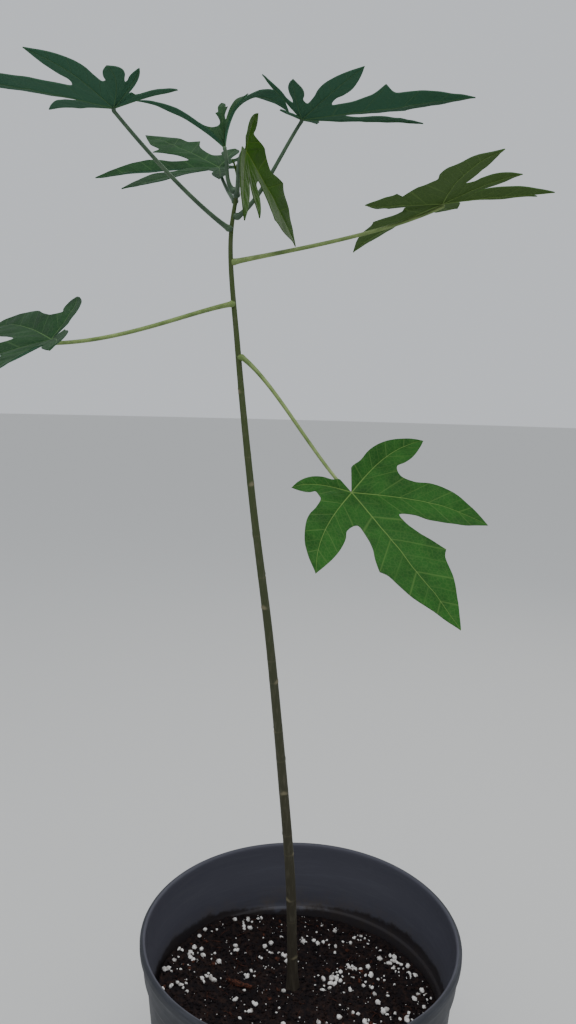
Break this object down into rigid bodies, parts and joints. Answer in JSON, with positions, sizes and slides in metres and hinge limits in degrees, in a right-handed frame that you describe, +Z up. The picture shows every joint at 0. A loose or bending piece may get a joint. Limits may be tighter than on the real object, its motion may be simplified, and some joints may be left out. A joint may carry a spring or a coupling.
{
  "type": "papaya sapling in a nursery pot",
  "caption": "Young papaya in a round plastic nursery pot of potting mix, with a slender leaning stem and long-stalked, deeply lobed palmate leaves near its tip.",
  "frame": {"origin": "centre of the pot's flat underside, which stands on the floor or a shelf", "axes": "+Z up, along the pot's axis and the plant's height; +Y away from the viewer of the picture; +X to the viewer's right"},
  "size_m": [0.3997, 0.3946, 0.9179],
  "materials": {
    "pot_plastic": "anthracite injection-moulded polypropylene, matt, with soil dust inside",
    "potting_mix": "moist peat-based potting mix, crumbly and near black",
    "perlite": "expanded volcanic glass grains, matt white",
    "stem_bark": "smooth grey-green young bark with pale leaf scars",
    "leaf_stalk": "smooth waxy pale green",
    "leaf_blade": "satin green leaf with pale raised veins, paler beneath",
    "young_growth": "soft bright green new growth"
  },
  "bodies": {
    "root": {"pot": "pot_plastic", "potting_mix": "potting_mix", "stem": "stem_bark", "leaf_1_stalk": "leaf_stalk", "leaf_1_blade": "leaf_blade", "leaf_2_stalk": "leaf_stalk", "leaf_2_blade": "leaf_blade", "leaf_3_stalk": "leaf_stalk", "leaf_3_blade": "leaf_blade", "leaf_4_stalk": "leaf_stalk", "leaf_4_blade": "leaf_blade", "leaf_5_stalk": "leaf_stalk", "leaf_5_blade": "leaf_blade", "leaf_6_stalk": "leaf_stalk", "leaf_6_blade": "leaf_blade", "leaf_7_stalk": "leaf_stalk", "leaf_7_blade": "leaf_blade", "leaf_8_stalk": "leaf_stalk", "leaf_8_blade": "leaf_blade", "shoot_tip": "young_growth"}
  },
  "joints": []
}
